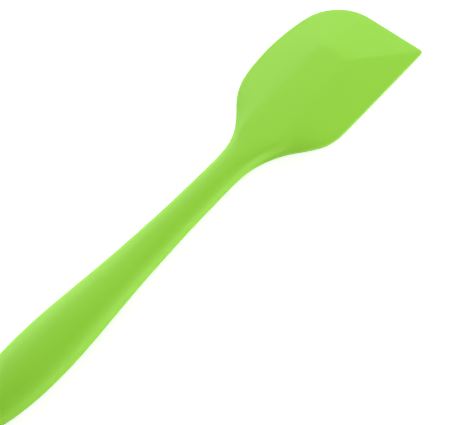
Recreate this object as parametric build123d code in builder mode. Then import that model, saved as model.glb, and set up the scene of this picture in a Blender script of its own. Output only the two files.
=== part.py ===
from build123d import *
from math import atan2, cos, sin, sqrt
import os

os.makedirs("parts", exist_ok=True)

# A one-piece kitchen spatula: a silicone skin moulded over a nylon core and a steel strip.
# It lies on a table. Millimetres, +X from the handle end to the blade tip, +Y towards the
# rounded corner of the blade, +Z up, origin on the table under the middle of the tool.

# Whole tool: the axis runs from the handle end, through the neck, to the line of the tip
handle_length = 165.0
blade_length = 115.0
left_reach = 29.5
right_reach = 28.3

# Handle, thickest at the belly and thinnest at the neck
belly_position = 45.0
belly_half_width = 13.35
belly_half_thickness = 6.75
neck_half_width = 7.5
neck_half_thickness = 4.3
end_flat = 0.3

# Hanging hole
hole_position = 16.0
hole_radius = 4.0
hole_rounding = 1.3

# Outline of the blade: shoulders, then a straight right edge, a nearly square tip corner,
# a slightly slanted front edge and a rounded left corner that runs into the curved left edge
shoulder_length = 70.0
edge_half_thickness = 0.95
edge_wall_half = 0.05
tip_radius = 1.5
front_slant = 1.1
front_edge_left = 5.9
corner_length = 32.0
corner_fall = 0.75
corner_slope = 0.105

# The flat middle of the blade, which thins towards its squared front end
plateau_setback = 25.0
front_facet_length = 30.0
plateau_front_half_thickness = 3.9
plateau_left_back = 9.5
plateau_left_front = 10.9
plateau_right_back = 9.9
plateau_right_front = 5.1
plateau_corner = 3.6
plateau_tip_radius = 0.4

# Nylon core
skin = 2.6
core_neck_run = 11.0
eye_liner = 1.6
eye_wall = 2.4
eye_half_thickness = 2.6
window_radius = 2.6
window_setback = 7.0
window_spacing = 24.0
window_count = 4

# Steel strip
strip_thickness = 0.8
stem_width = 5.6
stem_seat = 34.0
stem_hole_setback = 8.0
stem_hole_radius = 1.5
paddle_setback = 19.0
paddle_front_gap = 8.0
paddle_width = 11.0
paddle_rounding = 4.0
paddle_hole_radius = 2.2
paddle_hole_spacing = 16.0
paddle_hole_count = 3

# How the handle's oval section is made: exponent of the oval, then the shares of the half width
# at which the crowned top ends and the rounded side begins, and the flat share of the side
oval_exponent = 2.1
crown_share = 0.55
side_share = 0.85
side_flat_share = 0.08
core_corner_share = 0.7
end_plan_exponent = 2.1
end_depth_exponent = 3.0
end_depth_root = 2.2

# Places of the sections of the rounded end, as shares of the belly's distance from the end
end_station_shares = [0.0, 0.012, 0.04, 0.1, 0.2, 0.35, 0.55, 0.78, 1.0]

# Sections from belly to neck: share of the way, of the width lost, of the thickness lost
handle_station_shares = [
    (0.125, 0.076, 0.05),
    (0.25, 0.277, 0.20),
    (0.375, 0.504, 0.42),
    (0.5, 0.689, 0.63),
    (0.625, 0.824, 0.79),
    (0.75, 0.930, 0.90),
    (0.875, 0.980, 0.97),
    (0.94, 0.995, 0.995),
    (1.0, 1.0, 1.0),
]

# Sections of the shoulders: share of the shoulder's length, of the flare on the left and on the
# right, of the change from oval to faceted section, and of the thickness lost by the edge
shoulder_station_shares = [
    (0.04, 0.0, 0.002, 0.01, 0.06),
    (0.1, 0.007, 0.021, 0.06, 0.15),
    (0.2, 0.050, 0.107, 0.28, 0.33),
    (0.3, 0.169, 0.243, 0.62, 0.51),
    (0.4, 0.386, 0.434, 0.88, 0.66),
    (0.5, 0.648, 0.690, 1.0, 0.81),
    (0.6, 0.824, 0.900, 1.0, 0.91),
    (0.7, 0.914, 0.995, 1.0, 0.97),
    (0.8, 0.960, 1.0, 1.0, 1.0),
    (0.9, 0.987, 1.0, 1.0, 1.0),
    (0.96, 0.997, 1.0, 1.0, 1.0),
    (1.0, 1.0, 1.0, 1.0, 1.0),
]

# The plateau's border keeps inside the narrow neck by these shares of the half width
left_border_limit_share = 0.82
right_border_limit_share = 0.62

# Points of the rounded front corner, as shares of its length and of its sideways drop
corner_point_shares = [(0.485, 0.129), (0.777, 0.392), (0.942, 0.713)]

# Places along the tool, from the handle end
neck_position = handle_length
tool_length = handle_length + blade_length
front_start = neck_position + shoulder_length
plateau_back_position = neck_position + plateau_setback
plateau_front_position = tool_length - front_facet_length
plateau_length = plateau_front_position - plateau_back_position
core_start = hole_position + hole_radius
core_end = neck_position + core_neck_run
window_start = belly_position + window_setback
stem_start = core_end - stem_seat
paddle_start = neck_position + paddle_setback
paddle_end = plateau_front_position - paddle_front_gap

# A rational curve with this middle weight is a true quarter of an ellipse
quarter_weight = sqrt(0.5)


def between(start, end, share):
    return start + (end - start) * share


def oval_height(share):
    return (1 - share**oval_exponent) ** (1 / oval_exponent)


def oval_slope(share):
    return (share / oval_height(share)) ** (oval_exponent - 1)


def plateau_half_thickness(position):
    share = (position - plateau_back_position) / plateau_length
    return between(neck_half_thickness, plateau_front_half_thickness, max(share, 0))


def plateau_left(position):
    share = (position - plateau_back_position) / plateau_length
    return between(plateau_left_back, plateau_left_front, share)


def plateau_right(position):
    share = (position - plateau_back_position) / plateau_length
    return between(plateau_right_back, plateau_right_front, share)


def end_sizes(share):
    """Half width and half thickness of the rounded end of the handle."""
    depth = belly_position * (1 - share) / (belly_position + end_flat)
    width = (1 - depth**end_plan_exponent) ** (1 / end_plan_exponent)
    thickness = (1 - depth**end_depth_exponent) ** (1 / end_depth_root)
    return belly_half_width * width, belly_half_thickness * thickness


def handle_sizes(width_share, thickness_share):
    """Half width and half thickness between the belly and the neck."""
    width = between(belly_half_width, neck_half_width, width_share)
    thickness = between(belly_half_thickness, neck_half_thickness, thickness_share)
    return width, thickness


def meeting(start, start_slope, end, end_slope):
    """Where the tangents of two points of a profile meet, for falling slopes."""
    run = (start[1] - end[1] + start_slope * start[0] - end_slope * end[0]) / (start_slope - end_slope)
    return run, start[1] - start_slope * (run - start[0])


def toward(start, end, share):
    return between(start[0], end[0], share), between(start[1], end[1], share)


def oval_side(half_width, half_thickness):
    """Upper outline of one side of the handle: crown control, crown end, flank, side."""
    steep = half_thickness / half_width
    crown = (crown_share * half_width, oval_height(crown_share) * half_thickness)
    side = (side_share * half_width, oval_height(side_share) * half_thickness)
    crown_slope = oval_slope(crown_share) * steep
    side_slope = oval_slope(side_share) * steep
    rise = (half_thickness - crown[1]) * 4 / 3
    control = (crown[0] - rise / crown_slope, crown[1] + rise)
    corner = meeting(crown, crown_slope, side, side_slope)
    flank_in = toward(crown, corner, 2 / 3)
    flank_out = toward(side, corner, 2 / 3)
    round_corner = (half_width, side[1] - side_slope * (half_width - side[0]))
    wall = (half_width, side_flat_share * half_thickness)
    return [control, crown, flank_in, flank_out, side, round_corner, wall]


def facet_side(reach, border, thickness, edge):
    """Upper outline of one side of the blade: flat plateau, sloped facet, rounded edge."""
    rounding = edge - edge_wall_half
    control = (border / 3, thickness)
    start = (border, thickness)
    end = (reach - rounding, edge)
    corner = (reach, edge)
    wall = (reach, edge_wall_half)
    return [control, start, toward(start, end, 1 / 3), toward(start, end, 2 / 3), end, corner, wall]


def mixed(first, second, share):
    return [toward(start, end, share) for start, end in zip(first, second)]


def mirrored(points, side_sign, face_sign):
    return [(side_sign * y, face_sign * z) for y, z in points]


# The tool's own plane is its middle plane. It is tilted so that the tool rests on its belly,
# just in front of the thickest place, and on the front end of the blade's plateau.
rear_way_share, rear_width_share, rear_thickness_share = handle_station_shares[0]
rear_contact = between(belly_position, neck_position, rear_way_share)
rear_contact_half = between(belly_half_thickness, neck_half_thickness, rear_thickness_share)
contact_drop = rear_contact_half - plateau_front_half_thickness
rest_angle = atan2(contact_drop, plateau_front_position - rear_contact)
middle_height = rear_contact * sin(rest_angle) + rear_contact_half * cos(rest_angle)
tool = Plane(
    origin=(-tool_length * cos(rest_angle) / 2, (right_reach - left_reach) / 2, middle_height),
    x_dir=(cos(rest_angle), 0, -sin(rest_angle)),
    z_dir=(sin(rest_angle), 0, cos(rest_angle)),
)


def tool_point(position, reach=0, height=0):
    return tool.from_local_coords(Vector(position, reach, height))


def section_plane(position):
    return Plane(origin=tool_point(position), x_dir=tool.y_dir, z_dir=tool.x_dir)


def crown_edge(first, second):
    return [Bezier(first[1], first[0], second[0], second[1])]


def outward_edges(points):
    """Flank and rounded side of a quarter of a section, from the crown to the side."""
    return [Bezier(points[1:5]), Bezier(points[4:7], weights=[1, quarter_weight, 1])]


def inward_edges(points):
    """The same two edges, drawn from the side back to the crown."""
    return [Bezier(points[6:3:-1], weights=[1, quarter_weight, 1]), Bezier(points[4:0:-1])]


def section_face(position, left, right):
    """One closed section square to the tool, from the upper outlines of its two sides.

    Every section has the same twelve edges, in the same order, so that the loft joins each
    edge to its own kind. They are made outside the builders, which would merge the edges that
    run smoothly into each other.
    """
    left_top = mirrored(left, 1, 1)
    left_bottom = mirrored(left, 1, -1)
    right_top = mirrored(right, -1, 1)
    right_bottom = mirrored(right, -1, -1)
    edges = crown_edge(right_top, left_top)
    edges += outward_edges(left_top)
    edges += [Line(left_top[6], left_bottom[6])]
    edges += inward_edges(left_bottom)
    edges += crown_edge(left_bottom, right_bottom)
    edges += outward_edges(right_bottom)
    edges += [Line(right_bottom[6], right_top[6])]
    edges += inward_edges(right_top)
    return section_plane(position) * make_face(edges)


# Sections of the handle, then of the shoulders, which begin with the same section at the neck
handle_faces = []
for share in end_station_shares:
    oval = oval_side(*end_sizes(share))
    handle_faces.append(section_face(belly_position * share, oval, oval))
for way_share, width_share, thickness_share in handle_station_shares:
    oval = oval_side(*handle_sizes(width_share, thickness_share))
    place = between(belly_position, neck_position, way_share)
    handle_faces.append(section_face(place, oval, oval))
shoulder_faces = handle_faces[-1:]
for way_share, left_share, right_share, facet_share, edge_share in shoulder_station_shares:
    place = neck_position + shoulder_length * way_share
    thickness = plateau_half_thickness(place)
    edge = between(neck_half_thickness, edge_half_thickness, edge_share)
    reach = between(neck_half_width, left_reach, left_share)
    border = min(plateau_left(place), reach * left_border_limit_share)
    left = mixed(oval_side(reach, thickness), facet_side(reach, border, thickness, edge), facet_share)
    reach = between(neck_half_width, right_reach, right_share)
    border = min(plateau_right(place), reach * right_border_limit_share)
    right = mixed(oval_side(reach, thickness), facet_side(reach, border, thickness, edge), facet_share)
    shoulder_faces.append(section_face(place, left, right))

# Outline of the front of the blade
tip = (tool_length, -right_reach)
front_corner = (tool_length - front_slant, front_edge_left)
corner_start = (tool_length - corner_length, left_reach - corner_fall)
corner_points = [
    (between(corner_start[0], front_corner[0], along), between(corner_start[1], front_corner[1], drop))
    for along, drop in corner_point_shares
]
corner_direction = (1, -corner_slope)
front_direction = (tip[0] - front_corner[0], tip[1] - front_corner[1])
front_edges = [
    Line((front_start, -right_reach), (front_start, left_reach)),
    Spline((front_start, left_reach), corner_start, tangents=[(1, 0), corner_direction]),
    Spline(corner_start, *corner_points, front_corner, tangents=[corner_direction, front_direction]),
    Line(front_corner, tip),
    Line(tip, (front_start, -right_reach)),
]
front_face = tool * make_face(front_edges)

# Plane of the upper plateau, which slopes down towards the front
taper = (neck_half_thickness - plateau_front_half_thickness) / plateau_length
plateau_stretch = sqrt(1 + taper**2)
plateau_plane = Plane(
    origin=tool_point(plateau_front_position, 0, plateau_front_half_thickness),
    x_dir=tool.x_dir - tool.z_dir * taper,
    z_dir=tool.z_dir + tool.x_dir * taper,
)
plateau_run = (plateau_front_position - front_start) * plateau_stretch

tool_up = Axis(tool.origin, tool.z_dir)
tool_across = Axis(tool.origin, tool.y_dir)

# Steel strip: a narrow stem held by the core and a wide paddle in the thick middle of the blade
with BuildPart() as steel_strip:
    with BuildSketch(tool):
        with Locations(((stem_start + paddle_start) / 2, 0)):
            Rectangle(paddle_start - stem_start + paddle_rounding, stem_width)
        with Locations(((paddle_start + paddle_end) / 2, 0)):
            RectangleRounded(paddle_end - paddle_start, paddle_width, paddle_rounding)
        with Locations((stem_start + stem_hole_setback, 0)):
            Circle(stem_hole_radius, mode=Mode.SUBTRACT)
        with Locations(((paddle_start + paddle_end) / 2, 0)):
            with GridLocations(paddle_hole_spacing, paddle_hole_spacing, paddle_hole_count, 1):
                Circle(paddle_hole_radius, mode=Mode.SUBTRACT)
    extrude(amount=strip_thickness / 2, both=True)
steel_strip.part.label = "steel_strip"

# Nylon core: eye round the hanging hole, body that follows the handle, pocket for the strip
core_stations = [(core_start, *end_sizes(core_start / belly_position))]
core_stations += [(belly_position, belly_half_width, belly_half_thickness)]
for way_share, width_share, thickness_share in handle_station_shares:
    place = between(belly_position, neck_position, way_share)
    core_stations.append((place, *handle_sizes(width_share, thickness_share)))
core_stations.append((core_end, neck_half_width, neck_half_thickness))

with BuildPart() as nylon_core:
    for position, half_width, half_thickness in core_stations:
        width = half_width - skin
        thickness = half_thickness - skin
        with BuildSketch(section_plane(position)):
            RectangleRounded(width * 2, thickness * 2, thickness * core_corner_share)
    loft()
    with BuildSketch(tool):
        with Locations((hole_position, 0)):
            Circle(hole_radius + eye_liner + eye_wall)
    extrude(amount=eye_half_thickness, both=True)
    with BuildSketch(tool):
        with Locations((hole_position, 0)):
            Circle(hole_radius + eye_liner)
        for index in range(window_count):
            with Locations((window_start + window_spacing * index, 0)):
                Circle(window_radius)
    extrude(amount=belly_half_thickness, both=True, mode=Mode.SUBTRACT)
    add(steel_strip.part, mode=Mode.SUBTRACT)
nylon_core.part.label = "nylon_core"

# Front of the blade: a thin slab with a rounded rim, crowned on both faces by the facets
with BuildPart() as blade_front:
    extrude(front_face, amount=edge_half_thickness, dir=tool.z_dir, both=True)
    fillet(edges().filter_by(tool_up).sort_by_distance(tool_point(*tip))[0], radius=tip_radius)
    rims = faces().filter_by(tool).edges()
    back_rims = rims.filter_by(tool_across).sort_by_distance(tool_point(front_start))[0:2]
    rounded_rims = [edge for edge in rims if edge not in back_rims]
    fillet(rounded_rims, radius=edge_half_thickness - edge_wall_half)
    slab_top = faces().filter_by(tool).sort_by(tool_up)[-1]
    with BuildSketch(plateau_plane) as plateau:
        with BuildLine():
            Polyline(
                (-plateau_run, -plateau_right(front_start)),
                (0, -plateau_right_front),
                (0, plateau_left_front),
                (-plateau_run, plateau_left(front_start)),
                close=True,
            )
        make_face()
        fillet(vertices().group_by(Axis.X)[-1].sort_by(Axis.Y)[0], radius=plateau_tip_radius)
        fillet(vertices().group_by(Axis.X)[-1].sort_by(Axis.Y)[-1], radius=plateau_corner)
    crown = loft([slab_top, plateau.sketch.face()], ruled=True)
    mirror(crown, about=tool)

# Silicone skin: handle, neck and shoulders in one flowing form, with the front of the blade
with BuildPart() as silicone_jacket:
    loft(handle_faces, clean=False)
    loft(shoulder_faces, clean=False)
    add(blade_front.part)
    with BuildSketch(tool):
        with Locations((hole_position, 0)):
            Circle(hole_radius)
    extrude(amount=belly_half_thickness, both=True, mode=Mode.SUBTRACT)
    hole_wall = faces().filter_by(GeomType.CYLINDER).sort_by_distance(tool_point(hole_position))[0]
    mouths = hole_wall.edges().filter_by(GeomType.LINE, reverse=True)
    fillet(mouths, radius=hole_rounding)
    add(nylon_core.part, mode=Mode.SUBTRACT)
    add(steel_strip.part, mode=Mode.SUBTRACT)
silicone_jacket.part.label = "silicone_jacket"

export_step(silicone_jacket.part, "parts/silicone_jacket.step")
export_step(nylon_core.part, "parts/nylon_core.step")
export_step(steel_strip.part, "parts/steel_strip.step")
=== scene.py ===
from math import acos, asin, atan2, cos, hypot, pi, radians, sin

import bmesh
import bpy
from mathutils import Matrix, Vector

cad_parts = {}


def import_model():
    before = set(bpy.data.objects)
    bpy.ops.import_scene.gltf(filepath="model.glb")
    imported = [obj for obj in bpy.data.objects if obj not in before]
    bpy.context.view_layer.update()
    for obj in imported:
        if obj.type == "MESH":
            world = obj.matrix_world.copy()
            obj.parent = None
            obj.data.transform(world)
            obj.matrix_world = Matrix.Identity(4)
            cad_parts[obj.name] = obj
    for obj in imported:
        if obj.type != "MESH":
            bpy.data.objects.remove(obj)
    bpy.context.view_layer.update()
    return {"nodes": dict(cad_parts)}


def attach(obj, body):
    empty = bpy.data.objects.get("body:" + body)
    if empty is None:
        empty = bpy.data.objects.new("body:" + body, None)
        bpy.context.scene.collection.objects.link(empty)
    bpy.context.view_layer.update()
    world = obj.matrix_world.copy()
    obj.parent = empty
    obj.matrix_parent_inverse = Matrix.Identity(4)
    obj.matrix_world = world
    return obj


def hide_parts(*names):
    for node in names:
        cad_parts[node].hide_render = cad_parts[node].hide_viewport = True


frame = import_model()

# Sizes in metres. The tool is measured along its own axis from the handle's end, to the left
# and right of that axis, and up and down from its middle plane, which both faces mirror.

# Whole tool
tool_length = 0.280
tip_reach = 0.27992
left_edge = 0.02949
right_edge = 0.0283

# Handle: distance from the end, half width and half thickness, from belly to neck
belly = (0.045, 0.01335, 0.006748)
neck = (0.165, 0.0075, 0.0043)
handle_stations = [
    belly,
    (0.060, 0.01290, 0.00663),
    (0.075, 0.01173, 0.00626),
    (0.090, 0.01040, 0.00572),
    (0.105, 0.00932, 0.00521),
    (0.120, 0.00853, 0.00481),
    (0.135, 0.00791, 0.00454),
    (0.150, 0.00762, 0.00437),
    neck,
]
oval_exponent = 2.1
end_plan_exponent = 2.1
end_depth_exponent = 3.0
end_depth_root = 2.2

# Place on the rounded end that gives the handle's curves their slope at the belly
slope_place = 0.030

# Shoulders: distance from the end, reach to the left and to the right
shoulder_stations = [
    (0.172, 0.00765, 0.00794),
    (0.179, 0.00860, 0.00973),
    (0.186, 0.01122, 0.01255),
    (0.193, 0.01599, 0.01653),
    (0.200, 0.02176, 0.02185),
    (0.207, 0.02563, 0.02622),
    (0.214, 0.02760, 0.02800),
    (0.221, 0.02861, right_edge),
    (0.228, 0.02921, right_edge),
    (0.235, left_edge, right_edge),
    (0.248, 0.02875, right_edge),
]

# Change from the handle's oval to the blade's facets, and half thickness of the rim there
facet_stations = [(0.160, 0.0), (0.166, 0.0), (0.172, 0.06), (0.179, 0.28), (0.186, 0.62),
                  (0.193, 0.88), (0.200, 1.0), (0.207, 1.0)]
rim_stations = [(0.160, 0.0043), (0.166, 0.0042), (0.172, 0.0038), (0.179, 0.0031),
                (0.186, 0.0025), (0.193, 0.0020), (0.200, 0.00155), (0.207, 0.00125),
                (0.214, 0.0010), (0.228, 0.00095)]
right_rim = 0.0008
front_rim = 0.00075

# Front of the blade: the curved left corner, the slightly slanted front edge and the tip.
# The corner's curve takes its last direction from a short lead along the front edge.
front_left = (0.2789, 0.0059)
corner_points = [(0.248, 0.02875), (0.2630, 0.0258), (0.2720, 0.0198), (0.27711, 0.01247),
                 front_left]
corner_middle = (0.2646, 0.0253)
front_lead = 0.006
tip = (tip_reach, -right_edge)

# Flat middle of the blade
plateau_stations = [(0.165, 0.0043), (0.180, 0.0043), (0.190, 0.00428), (0.200, 0.004233),
                    (0.225, 0.004067), (0.250, 0.0039)]
plateau_back = 0.190
plateau_front = 0.250
plateau_left = (0.0095, 0.0109)
plateau_right = (0.0099, 0.0051)
plateau_corner = 0.0036
left_border_share = 0.82
right_border_share = 0.62

# Hollow beside the handle's right side where it runs on to the blade: how far it has set in at
# a distance from the end, and how much lower each point from the border to the rim is there
hollow_stations = [(0.168, 0.0), (0.174, 0.25), (0.180, 0.9), (0.187, 0.95), (0.195, 0.5),
                   (0.204, 0.1), (0.212, 0.0), (0.240, 0.0)]
hollow_depths = (0.0, 0.04, 0.22, 0.43, 0.60, 0.64, 0.60, 0.55, 0.50)

# Crown of the handle, as a share of its half width, wider round the hanging hole
crown_stations = [(0.0, 0.72), (0.030, 0.72), (0.060, 0.62), (0.090, 0.58), (0.150, 0.55),
                  (0.165, 0.55), (0.200, 0.55)]

# Hanging hole
hole_position = 0.016
hole_radius = 0.0040
hole_rounding = 0.0013

# Rest: on the belly and on the front end of the plateau
rear_contact, rear_contact_half = 0.060, 0.006632
front_contact, front_contact_half = 0.250, 0.0039

# Lengths too small to see: what a division is kept above, and what the halves are joined within
tiny, merge_distance = 1e-6, 1e-7

# Mesh of the crown: cells across it, and its rows. The first rows come before the hole's patch,
# and past the patch each pair is a limit and the step between the rows up to there.
across = 16
column_ease = 0.6
first_rows = [0.0052, 0.0068]
row_steps = [(0.027, 0.0036), (0.150, 0.0045), (0.180, 0.0030), (0.2465, 0.0025)]
plateau_row_margin = 0.0013
corner_row_start = 0.234

# Mesh of the patch round the hanging hole: half length, place in the rows and columns, and rings
patch_half_length = 0.0074
patch_start_row, patch_rows, patch_margin = 2, 10, 1
patch_ring_shares = (0.4, 0.75, 1.0)
mouth_angles = (25, 50, 75, 90)
wall_shares = (0.75, 0.35, 0)

# Mesh from the crown's border to the rim. The rows fan out round the handle's end and round the
# front of the blade, where spreads say how much faster their ends walk along the rim.
ring_points = 9
arc_steps = 4
facet_shares = (0.36, 0.66)
left_border_drop, front_border_drop = 0.00010, 0.00005
left_border_support, front_border_support, right_border_support = 0.0034, 0.0026, 0.0024
rim_support, right_rim_support = 0.0012, 0.0040
most_support_share = 0.25
least_slant = 0.35
most_rim_share = 0.9
most_crown_share = 0.9
end_fan_start, end_fan_share, end_spread = 0.0234, 0.36, 0.5
fan_start, left_spread, right_spread = 0.222, 1.2, 1.0
tip_step_share, tip_zone_share = 0.55, 0.35

# What the values of a noise texture mostly lie between
noise_low, noise_high = 0.3, 0.7

# Light: strength of the world, how much the floor glows near the tool and where that grows to
# full white, and the softboxes. Those of the ring have an azimuth, an elevation and a power,
# the others a place, a size, a power and the spot that they face.
world_strength = 0.10
floor_glow = 0.66
glow_start, glow_end = 0.20, 0.60
ring_radius, ring_softbox_size = 0.80, (0.92, 0.50)
ring_softboxes = [
    ("low_front", 0, 12, 0.80),
    ("low_front_left", 45, 12, 1.20),
    ("low_front_right", 315, 12, 1.60),
    ("front", 0, 24, 0.28),
    ("front_left", 45, 24, 3.60),
    ("front_right", 315, 24, 3.60),
]
softboxes = [
    ("high_back", (-0.566, 0, 0.566), (0.50, 0.50), 1.55, (0, 0, 0)),
    ("high_front_left", (0.30, 0.35, 0.40), (0.30, 0.30), 0.186, (0.10, 0, 0)),
    ("near_left", (0.02, 0.30, 0.08), (0.40, 0.10), 0.265, (0.02, 0, 0.005)),
    ("near_right", (0.02, -0.30, 0.08), (0.40, 0.10), 0.250, (0.02, 0, 0.005)),
    ("near_back_left", (-0.10, 0.26, 0.10), (0.22, 0.10), 0.242, (-0.06, 0, 0.005)),
    ("near_back_right", (-0.06, -0.26, 0.05), (0.22, 0.08), 0.103, (-0.06, 0, 0.007)),
]


def between(start, end, share):
    return start + (end - start) * share


def blend_point(start, end, share):
    return tuple(between(a, b, share) for a, b in zip(start, end))


def smooth(points):
    """A smooth curve through (place, value) points, as a function of the place."""
    slopes = []
    for index in range(len(points)):
        before = points[max(index - 1, 0)]
        after = points[min(index + 1, len(points) - 1)]
        slopes.append((after[1] - before[1]) / (after[0] - before[0]))

    def value(place):
        index = 0
        while index < len(points) - 2 and place > points[index + 1][0]:
            index += 1
        (start, low), (end, high) = points[index], points[index + 1]
        run = end - start
        share = min(max((place - start) / run, 0), 1)
        rest = 1 - share
        value_part = low * (1 + 2 * share) * rest**2 + high * (3 - 2 * share) * share**2
        slope_part = slopes[index] * share * rest**2 - slopes[index + 1] * share**2 * rest
        return value_part + slope_part * run

    return value


def end_sizes(place):
    """Half width and half thickness of the rounded end of the handle."""
    depth = 1 - place / belly[0]
    width = (1 - depth**end_plan_exponent) ** (1 / end_plan_exponent)
    thickness = (1 - depth**end_depth_exponent) ** (1 / end_depth_root)
    return belly[1] * width, belly[2] * thickness


before_belly = (slope_place, *end_sizes(slope_place))
handle_curve = [before_belly] + handle_stations
left_curve = smooth([s[:2] for s in handle_curve] + [(s[0], s[1]) for s in shoulder_stations])
right_curve = smooth([s[:2] for s in handle_curve] + [(s[0], s[2]) for s in shoulder_stations])
handle_thickness = smooth([(s[0], s[2]) for s in handle_curve] + plateau_stations[1:])
facet_share = smooth(facet_stations)
rim_curve = smooth(rim_stations)
crown_share = smooth(crown_stations)
hollow = smooth(hollow_stations)


def reach(place, left):
    if place < belly[0]:
        return end_sizes(place)[0]
    return left_curve(place) if left else right_curve(place)


def half_thickness(place):
    if place < belly[0]:
        return end_sizes(place)[1]
    return handle_thickness(place)


def oval_height(place, across_axis):
    share = min(abs(across_axis) / max(reach(place, across_axis > 0), tiny), 1)
    return half_thickness(place) * (1 - share**oval_exponent) ** (1 / oval_exponent)


def crown_height(place, across_axis):
    share = facet_share(place)
    return between(oval_height(place, across_axis), half_thickness(place), share)


def border(place, left):
    """Reach of the crown's border: a share of the handle's width, then the plateau's edge."""
    width = reach(place, left)
    along = (place - plateau_back) / (plateau_front - plateau_back)
    if left:
        edge = min(between(*plateau_left, along), width * left_border_share)
    else:
        edge = min(between(*plateau_right, along), width * right_border_share)
    return between(crown_share(place) * width, edge, facet_share(place))


class Path:
    """A line through plan points that is walked by its length."""

    def __init__(self, points):
        self.points = points
        self.lengths = [0.0]
        for start, end in zip(points, points[1:]):
            self.lengths.append(self.lengths[-1] + hypot(end[0] - start[0], end[1] - start[1]))

    def at(self, length):
        length = min(max(length, 0), self.lengths[-1])
        index = 0
        while index < len(self.points) - 2 and length > self.lengths[index + 1]:
            index += 1
        share = (length - self.lengths[index]) / (self.lengths[index + 1] - self.lengths[index])
        return blend_point(self.points[index], self.points[index + 1], share)

    def nearest_length(self, point):
        gaps = [hypot(p[0] - point[0], p[1] - point[1]) for p in self.points]
        return self.lengths[gaps.index(min(gaps))]


def corner_curve(steps):
    """The curved left corner, from the end of the side to the front edge."""
    before = shoulder_stations[-2][:2]
    slant = (tip[0] - front_left[0]) / (tip[1] - front_left[1])
    after = (front_left[0] - slant * front_lead, front_left[1] - front_lead)
    points = [before] + corner_points + [after]
    curve = Path(corner_points)
    length = curve.lengths[-1]
    runs = [-Path(points[:2]).lengths[-1]] + curve.lengths + [length + front_lead]
    along = smooth(list(zip(runs, [p[0] for p in points])))
    over = smooth(list(zip(runs, [p[1] for p in points])))
    return [(along(length * n / steps), over(length * n / steps)) for n in range(steps + 1)]


def outline_front():
    """Plan outline of the front: left side, corner, front edge, tip and right side."""
    steps = 60
    side_end = corner_points[0][0]
    side = [between(fan_start, side_end, n / steps) for n in range(steps)]
    points = [(x, left_curve(x)) for x in side]
    points += corner_curve(steps)
    points += [blend_point(front_left, tip, n / steps) for n in range(1, steps + 1)]
    back = (fan_start, -right_edge)
    points += [blend_point(tip, back, n / steps) for n in range(1, steps + 1)]
    return Path(points)


def outline_back():
    """Plan outline of the handle's end, from its left side round to its right side."""
    steps = 90
    points = []
    for n in range(-steps, steps + 1):
        place = end_fan_start * (n / steps) ** 2
        side = -1 if n > 0 else 1
        points.append((place, side * end_sizes(place)[0]))
    return Path(points)


def eased(share, spread):
    """A share that starts at an even pace and then takes longer steps."""
    return (share + spread * share**2) / (1 + spread)


def stations():
    """Distances of the mesh rows along the axis, from the end to the plateau's front."""
    first, last = hole_position - patch_half_length, hole_position + patch_half_length
    places = first_rows + [between(first, last, n / patch_rows) for n in range(patch_rows + 1)]
    for limit, step in row_steps:
        start = places[-1]
        count = max(round((limit - start) / step), 1)
        places += [between(start, limit, n / count) for n in range(1, count + 1)]
    return places + [plateau_front - plateau_row_margin]


rows_along = stations()
row_count = len(rows_along) + 1
fan_rows = [n for n, x in enumerate(rows_along) if x >= fan_start]
end_rows = [n for n, x in enumerate(rows_along) if x < end_fan_start]


def corner_arc_point(angle):
    """A point of the plateau's rounded front-left corner. Angle 0 faces left, 90 forward."""
    centre = (plateau_front - plateau_corner, plateau_left[1] - plateau_corner)
    turn = radians(angle)
    return centre[0] + plateau_corner * sin(turn), centre[1] + plateau_corner * cos(turn)


def plateau_path():
    """The plateau's border from the left side, round its corner and along its front."""
    corner_begin = corner_arc_point(0)[0]
    side = [x for x in rows_along if x < corner_begin]
    points = [(x, border(x, True)) for x in side]
    points += [corner_arc_point(angle) for angle in range(0, 91, 5)]
    points += [(plateau_front, -plateau_right[1])]
    return Path(points)


def column_share(place, j):
    """Share of the crown's width at a column. On the blade the outer columns are further apart."""
    share = j / across
    eased_share = share + column_ease * sin(2 * pi * share) / (2 * pi)
    return between(share, eased_share, facet_share(place))


def grid_points():
    """Plan points of the crown: rows along the tool, columns from its right to its left."""
    grid = []
    for place in rows_along:
        right, left = -border(place, False), border(place, True)
        shares = [column_share(place, j) for j in range(across + 1)]
        grid.append([(place, between(right, left, share)) for share in shares])
    path = plateau_path()
    middle = path.nearest_length(corner_arc_point(45))
    shares = [column_share(plateau_front, j) for j in range(across + 1)]
    front = [path.at(between(path.lengths[-1], middle, share)) for share in shares]
    grid.append(front)
    relax_corner(grid, path, middle)
    return grid


def relax_corner(grid, path, middle):
    """Draws the last rows round the plateau's rounded corner."""
    first = next(n for n, x in enumerate(rows_along) if x > corner_row_start)
    start = path.nearest_length(grid[first][across])
    last = row_count - 1
    for i in range(first, last):
        share = (i - first) / (last - first)
        place_share = (rows_along[i] - rows_along[first]) / (plateau_front - rows_along[first])
        left = path.at(between(start, middle, place_share))
        right = grid[i][0]
        front_bend = smoothstep(share)
        for j in range(1, across + 1):
            column = column_share(plateau_front, j)
            straight = blend_point(right, left, column)
            front = grid[last][j]
            chord = blend_point(grid[last][0], grid[last][across], column)
            bend = (front[0] - chord[0], front[1] - chord[1])
            grid[i][j] = (straight[0] + bend[0] * front_bend, straight[1] + bend[1] * front_bend)


def smoothstep(share):
    return share * share * (3 - 2 * share)


def loop_cells():
    """Grid places round the crown's border, counter-clockwise from the back right."""
    last = row_count - 1
    cells = [(i, 0) for i in range(row_count)]
    cells += [(last, j) for j in range(1, across + 1)]
    cells += [(i, across) for i in range(last - 1, -1, -1)]
    cells += [(0, j) for j in range(across - 1, 0, -1)]
    return cells


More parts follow.
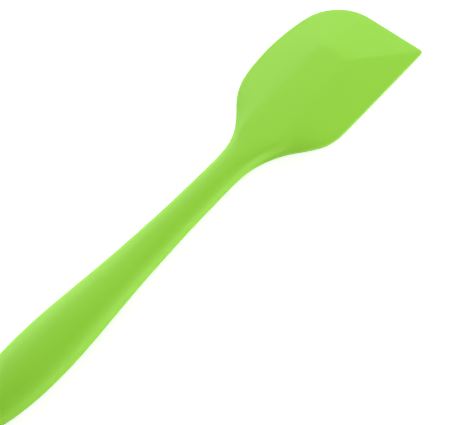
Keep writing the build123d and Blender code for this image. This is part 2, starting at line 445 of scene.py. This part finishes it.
def rim_points():
    """Plan points of the rim and its half thickness, one for each place of the border."""
    front, back = outline_front(), outline_back()
    corner_length = front.nearest_length(corner_middle)
    tip_length = front.nearest_length(tip)
    front_end, back_end = front.lengths[-1], back.lengths[-1]
    last = row_count - 1
    points = {}
    for i, place in enumerate(rows_along):
        edge = rim_curve(place)
        if i in fan_rows:
            share = (place - fan_start) / (plateau_front - fan_start)
            walk = eased(share, left_spread)
            thin = between(edge, front_rim, smoothstep(walk))
            points[i, across] = (front.at(corner_length * walk), thin)
            right_walk = between(front_end, tip_length, eased(share, right_spread))
            points[i, 0] = (front.at(right_walk), between(edge, right_rim, walk))
        elif i in end_rows:
            share = (end_fan_start - place) / end_fan_start
            walk = back_end * end_fan_share * eased(share, end_spread)
            points[i, across] = (back.at(walk), edge)
            points[i, 0] = (back.at(back_end - walk), edge)
        else:
            points[i, across] = ((place, reach(place, True)), edge)
            points[i, 0] = ((place, -reach(place, False)), edge)
    for j in range(across + 1):
        share = tip_column_share(j / across)
        points[last, j] = (front.at(between(tip_length, corner_length, share)), front_rim)
    left_walk = back.nearest_length(points[0, across][0])
    for j in range(1, across):
        walk = between(back_end - left_walk, left_walk, j / across)
        points[0, j] = (back.at(walk), rim_stations[0][1])
    return points


def tip_column_share(share):
    """Walk along the front edge from the tip: short steps by the tip, then even ones."""
    return share * between(tip_step_share, 1, min(share / tip_zone_share, 1))


def outline_normal(points, cells, index):
    """Inward direction, square to the rim, in plan."""
    before = points[cells[index - 1]][0]
    after = points[cells[(index + 1) % len(cells)]][0]
    along = Vector((after[0] - before[0], after[1] - before[1])).normalized()
    return Vector((-along.y, along.x))


def supports(i, j):
    """How far the border and the beginning of the rim are softened along the facet."""
    if j == 0:
        return right_border_support, right_rim_support
    if i < row_count - 1:
        return left_border_support, rim_support
    share = smoothstep(j / across)
    return between(front_border_support, left_border_support, share), rim_support


def flank_row(start, end, inward, edge, share, soft):
    """Points from the crown's border down to the rim, in the row's upright plane."""
    border_support, rim_start = soft
    row = Vector((start[0] - end[0], start[1] - end[1]))
    run = row.length
    row /= run
    slant = max(row.dot(inward), least_slant)
    depth = run * slant
    top = half_thickness(start[0])
    edge = min(edge, top, depth * most_rim_share)
    away = hypot(depth - edge, top)
    slope = atan2(top, depth - edge) - asin(edge / away)
    touch = (edge - edge * sin(slope), edge * cos(slope))
    line = depth - touch[0]
    support = min(border_support * slant, line * most_support_share)
    rim = min(rim_start, line * most_support_share)
    stops = [0, support, *(line * part for part in facet_shares), line - rim, line]
    facet = []
    for stop in stops:
        facet.append((depth - stop, between(top, touch[1], stop / line)))
    for n in range(arc_steps - 1, -1, -1):
        turn = (pi / 2 - slope) * n / arc_steps
        facet.append((edge - edge * cos(turn), edge * sin(turn)))
    crown = row_crown(start, end)
    begin = acos(crown ** (oval_exponent / 2))
    points = []
    for k in range(1, ring_points + 1):
        turn = begin * (1 - k / ring_points)
        part = (cos(turn) ** (2 / oval_exponent) - crown) / (1 - crown)
        spot = blend_point(start, end, part)
        height = oval_height(*spot) if k < ring_points else 0
        flat = (end[0] + row.x * facet[k][0] / slant, end[1] + row.y * facet[k][0] / slant)
        mixed = blend_point(spot, flat, share)
        points.append((*mixed, between(height, facet[k][1], share)))
    return points


def row_crown(start, end):
    """The border's share of the way from the axis to the rim."""
    if end[0] < end_fan_start:
        return crown_share(0)
    return min(abs(start[1]) / max(abs(end[1]), tiny), most_crown_share)


def border_drop(i, j, place):
    """How much lower the plateau's left and front border is than a sharp edge would be."""
    if j == across:
        return left_border_drop * facet_share(place)
    return front_border_drop if i == row_count - 1 and j else 0


def hole_rings(bm, outer):
    """Rings that lead from a loop of crown vertices into the hanging hole."""
    count = len(outer)
    plan = [(v.co.x - hole_position, v.co.y) for v in outer]
    wide = hole_radius + hole_rounding
    rings = [outer]
    for part in patch_ring_shares:
        ring = []
        for n, (x, y) in enumerate(plan):
            turn = 2 * pi * n / count
            circle = (wide * cos(turn), wide * sin(turn))
            spot = blend_point((x, y), circle, part)
            place = hole_position + spot[0]
            ring.append(bm.verts.new((place, spot[1], crown_height(place, spot[1]))))
        rings.append(ring)
    for angle in mouth_angles:
        drop = hole_rounding * (1 - cos(radians(angle)))
        radius = wide - hole_rounding * sin(radians(angle))
        rings.append(hole_ring(bm, count, radius, drop))
    for part in wall_shares:
        rings.append(hole_ring(bm, count, hole_radius, hole_rounding, part))
    for wide_ring, tight_ring in zip(rings, rings[1:]):
        for n in range(count):
            m = (n + 1) % count
            bm.faces.new((tight_ring[n], wide_ring[n], wide_ring[m], tight_ring[m]))


def hole_ring(bm, count, radius, drop, part=1.0):
    ring = []
    for n in range(count):
        turn = 2 * pi * n / count
        place, over = hole_position + radius * cos(turn), radius * sin(turn)
        ring.append(bm.verts.new((place, over, (crown_height(place, over) - drop) * part)))
    return ring


def patch_loop(grid):
    """Crown vertices round the hole's patch, counter-clockwise from the forward side."""
    low, high = patch_start_row, patch_start_row + patch_rows
    right, left = patch_margin, across - patch_margin
    middle = across // 2
    loop = [grid[high][j] for j in range(middle, left)]
    loop += [grid[i][left] for i in range(high, low, -1)]
    loop += [grid[low][j] for j in range(left, right, -1)]
    loop += [grid[i][right] for i in range(low, high)]
    loop += [grid[high][j] for j in range(right, middle)]
    return loop


def in_patch(i, j):
    inside_rows = patch_start_row <= i < patch_start_row + patch_rows
    return inside_rows and patch_margin <= j < across - patch_margin


def upper_half(bm):
    """The upper half of the skin, down to the rim and to the middle of the hole."""
    plan = grid_points()
    grid = []
    for i, row in enumerate(plan):
        heights = [crown_height(x, y) - border_drop(i, j, x) for j, (x, y) in enumerate(row)]
        grid.append([bm.verts.new((x, y, height)) for (x, y), height in zip(row, heights)])
    for i in range(row_count - 1):
        for j in range(across):
            if not in_patch(i, j):
                corners = (grid[i][j], grid[i + 1][j], grid[i + 1][j + 1], grid[i][j + 1])
                bm.faces.new(corners)
    hole_rings(bm, patch_loop(grid))
    for i in range(patch_start_row + 1, patch_start_row + patch_rows):
        for j in range(patch_margin + 1, across - patch_margin):
            bm.verts.remove(grid[i][j])
    cells = loop_cells()
    rims = rim_points()
    rows = []
    for index, (i, j) in enumerate(cells):
        end, edge = rims[i, j]
        inward = outline_normal(rims, cells, index)
        place = plan[i][j][0]
        row = flank_row(plan[i][j], end, inward, edge, facet_share(place), supports(i, j))
        if j == 0:
            row = [(x, y, z * (1 - hollow(place) * depth))
                   for (x, y, z), depth in zip(row, hollow_depths)]
        rows.append([grid[i][j]] + [bm.verts.new(point) for point in row])
    for near, far in zip(rows, rows[1:] + rows[:1]):
        for k in range(ring_points):
            bm.faces.new((near[k], near[k + 1], far[k + 1], far[k]))


rest_angle = atan2(rear_contact_half - front_contact_half, front_contact - rear_contact)
middle_height = rear_contact * sin(rest_angle) + rear_contact_half * cos(rest_angle)
tool_origin = (-tool_length * cos(rest_angle) / 2, (right_edge - left_edge) / 2, middle_height)
tool_frame = Matrix.Translation(tool_origin) @ Matrix.Rotation(rest_angle, 4, "Y")


def silicone_skin():
    """The seamless silicone skin, both halves joined at the rim and subdivided."""
    bm = bmesh.new()
    upper_half(bm)
    everything = bm.verts[:] + bm.edges[:] + bm.faces[:]
    bmesh.ops.mirror(bm, geom=everything, matrix=Matrix(), merge_dist=merge_distance, axis="Z")
    bmesh.ops.recalc_face_normals(bm, faces=bm.faces)
    bm.transform(tool_frame)
    mesh = bpy.data.meshes.new("silicone_skin")
    bm.to_mesh(mesh)
    bm.free()
    mesh.shade_smooth()
    skin = bpy.data.objects.new("silicone_skin", mesh)
    bpy.context.scene.collection.objects.link(skin)
    rounding = skin.modifiers.new("rounding", "SUBSURF")
    rounding.levels = rounding.render_levels = 2
    return skin


class Material:
    """A node material with short calls for the nodes that the finishes here share."""

    def __init__(self, name):
        self.material = bpy.data.materials.new(name)
        self.material.use_nodes = True
        self.nodes = self.material.node_tree.nodes
        self.links = self.material.node_tree.links
        self.shader = self.nodes["Principled BSDF"]
        self.coordinates = self.nodes.new("ShaderNodeTexCoord").outputs["Object"]

    def noise(self, scale, detail, stretch=None):
        source = self.coordinates
        if stretch:
            mapping = self.nodes.new("ShaderNodeMapping")
            mapping.inputs["Scale"].default_value = stretch
            self.links.new(source, mapping.inputs["Vector"])
            source = mapping.outputs["Vector"]
        node = self.nodes.new("ShaderNodeTexNoise")
        node.inputs["Scale"].default_value = scale
        node.inputs["Detail"].default_value = detail
        self.links.new(source, node.inputs["Vector"])
        return node.outputs["Fac"]

    def ramp(self, value, low, high):
        """Maps a noise value to a range."""
        node = self.nodes.new("ShaderNodeMapRange")
        node.inputs["From Min"].default_value = noise_low
        node.inputs["From Max"].default_value = noise_high
        node.inputs["To Min"].default_value = low
        node.inputs["To Max"].default_value = high
        self.links.new(value, node.inputs["Value"])
        return node.outputs["Result"]

    def colour(self, value, dark, light):
        node = self.nodes.new("ShaderNodeMix")
        node.data_type = "RGBA"
        node.inputs["A"].default_value = (*dark, 1)
        node.inputs["B"].default_value = (*light, 1)
        self.links.new(value, node.inputs["Factor"])
        self.links.new(node.outputs["Result"], self.shader.inputs["Base Color"])

    def roughness(self, value, low, high):
        self.links.new(self.ramp(value, low, high), self.shader.inputs["Roughness"])

    def bump(self, value, depth):
        node = self.nodes.new("ShaderNodeBump")
        node.inputs["Distance"].default_value = depth
        self.links.new(value, node.inputs["Height"])
        self.links.new(node.outputs["Normal"], self.shader.inputs["Normal"])


def silicone_material():
    made = Material("silicone")
    broad = made.noise(scale=60, detail=1)
    fine = made.noise(scale=2600, detail=2)
    made.colour(broad, dark=(0.262, 0.638, 0.018), light=(0.272, 0.656, 0.021))
    made.roughness(fine, low=0.56, high=0.64)
    made.bump(fine, depth=0.00001)
    made.shader.inputs["Specular IOR Level"].default_value = 0.60
    return made.material


def nylon_material():
    made = Material("nylon")
    cloudy = made.noise(scale=180, detail=2)
    fine = made.noise(scale=3200, detail=2)
    made.colour(cloudy, dark=(0.70, 0.68, 0.63), light=(0.78, 0.77, 0.72))
    made.roughness(fine, low=0.42, high=0.55)
    made.bump(fine, depth=0.00001)
    return made.material


def steel_material():
    made = Material("steel")
    grain = made.noise(scale=900, detail=3, stretch=(0.06, 1, 1))
    made.colour(grain, dark=(0.50, 0.51, 0.52), light=(0.62, 0.63, 0.64))
    made.roughness(grain, low=0.26, high=0.40)
    made.bump(grain, depth=0.000006)
    made.shader.inputs["Metallic"].default_value = 1.0
    return made.material


def dress(piece, material):
    """Gives every material slot of a piece the same finish."""
    if not piece.material_slots:
        piece.data.materials.append(material)
    for slot in piece.material_slots:
        slot.material = material


def floor_material():
    """A pale floor that is white to the camera where it is lit and keeps the shadow."""
    material = bpy.data.materials.new("floor")
    material.use_nodes = True
    nodes, links = material.node_tree.nodes, material.node_tree.links
    shader = nodes["Principled BSDF"]
    shader.inputs["Base Color"].default_value = (0.60, 0.60, 0.60, 1)
    shader.inputs["Roughness"].default_value = 0.9
    shader.inputs["Specular IOR Level"].default_value = 0.1
    grain = nodes.new("ShaderNodeTexNoise")
    grain.inputs["Scale"].default_value = 400
    bump = nodes.new("ShaderNodeBump")
    bump.inputs["Distance"].default_value = 0.00002
    links.new(grain.outputs["Fac"], bump.inputs["Height"])
    links.new(bump.outputs["Normal"], shader.inputs["Normal"])
    path = nodes.new("ShaderNodeLightPath")
    seen = nodes.new("ShaderNodeMath")
    seen.operation = "MAXIMUM"
    seen_more = nodes.new("ShaderNodeMath")
    seen_more.operation = "MAXIMUM"
    links.new(path.outputs["Is Camera Ray"], seen.inputs[0])
    links.new(path.outputs["Is Glossy Ray"], seen.inputs[1])
    links.new(seen.outputs[0], seen_more.inputs[0])
    links.new(path.outputs["Is Transmission Ray"], seen_more.inputs[1])
    away = nodes.new("ShaderNodeVectorMath")
    away.operation = "LENGTH"
    links.new(nodes.new("ShaderNodeTexCoord").outputs["Object"], away.inputs[0])
    glow = nodes.new("ShaderNodeMapRange")
    glow.inputs["From Min"].default_value = glow_start
    glow.inputs["From Max"].default_value = glow_end
    glow.inputs["To Min"].default_value = floor_glow
    glow.inputs["To Max"].default_value = 1.0
    links.new(away.outputs["Value"], glow.inputs["Value"])
    gain = nodes.new("ShaderNodeMath")
    gain.operation = "MULTIPLY"
    links.new(glow.outputs["Result"], gain.inputs[0])
    links.new(seen_more.outputs[0], gain.inputs[1])
    shader.inputs["Emission Color"].default_value = (1, 1, 1, 1)
    links.new(gain.outputs[0], shader.inputs["Emission Strength"])
    return material


def floor():
    half = 3.0
    mesh = bpy.data.meshes.new("floor")
    corners = [(-half, -half, 0), (half, -half, 0), (half, half, 0), (-half, half, 0)]
    mesh.from_pydata(corners, [], [(0, 1, 2, 3)])
    plane = bpy.data.objects.new("floor", mesh)
    bpy.context.scene.collection.objects.link(plane)
    plane.data.materials.append(floor_material())


def aim(thing, spot):
    direction = Vector(spot) - thing.location
    thing.rotation_euler = direction.to_track_quat("-Z", "Y").to_euler()


def softbox(name, place, size, power, spot=(0, 0, 0)):
    """A soft light at a place, turned towards a spot. The camera doesn't see it."""
    light = bpy.data.lights.new(name, "AREA")
    light.shape = "RECTANGLE"
    light.size, light.size_y = size
    light.energy = power
    thing = bpy.data.objects.new(name, light)
    bpy.context.scene.collection.objects.link(thing)
    thing.location = place
    thing.visible_camera = False
    aim(thing, spot)


def ring_softbox(name, azimuth, elevation, power):
    """A large soft light on a wide circle round the tool."""
    turn, rise = radians(azimuth), radians(elevation)
    place = (ring_radius * cos(turn) * cos(rise), ring_radius * sin(turn) * cos(rise),
             ring_radius * sin(rise))
    softbox(name, place, ring_softbox_size, power)


def world():
    made = bpy.data.worlds.new("studio")
    bpy.context.scene.world = made
    made.use_nodes = True
    nodes, links = made.node_tree.nodes, made.node_tree.links
    back = nodes["Background"]
    path = nodes.new("ShaderNodeLightPath")
    mix = nodes.new("ShaderNodeMix")
    mix.data_type = "FLOAT"
    mix.inputs["A"].default_value = world_strength
    mix.inputs["B"].default_value = 1.0
    links.new(path.outputs["Is Camera Ray"], mix.inputs["Factor"])
    links.new(mix.outputs["Result"], back.inputs["Strength"])
    back.inputs["Color"].default_value = (1, 1, 1, 1)


def camera():
    """The photograph's view: from behind the handle's right side, high above the floor."""
    azimuth, elevation = radians(-49.470), radians(60.835)
    distance, target = 0.620, Vector((0.01233, -0.01247, 0))
    back = Vector((sin(azimuth) * cos(elevation), -cos(azimuth) * cos(elevation), sin(elevation)))
    right = Vector((cos(azimuth), sin(azimuth), 0))
    up = back.cross(right)
    lens = bpy.data.cameras.new("camera")
    lens.sensor_width, lens.lens = 36, 109.753
    lens.clip_start, lens.clip_end = 0.01, 20
    view = bpy.data.objects.new("camera", lens)
    bpy.context.scene.collection.objects.link(view)
    view.matrix_world = Matrix.Translation(target + back * distance) @ Matrix(
        (right, up, back)).transposed().to_4x4()
    bpy.context.scene.camera = view


camera()
world()
floor()
for light in ring_softboxes:
    ring_softbox(*light)
for light in softboxes:
    softbox(*light)

skin = silicone_skin()
dress(skin, silicone_material())
dress(frame["nodes"]["nylon_core"], nylon_material())
dress(frame["nodes"]["steel_strip"], steel_material())
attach(skin, "root")
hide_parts("silicone_jacket")

bpy.context.scene.view_settings.view_transform = "Standard"
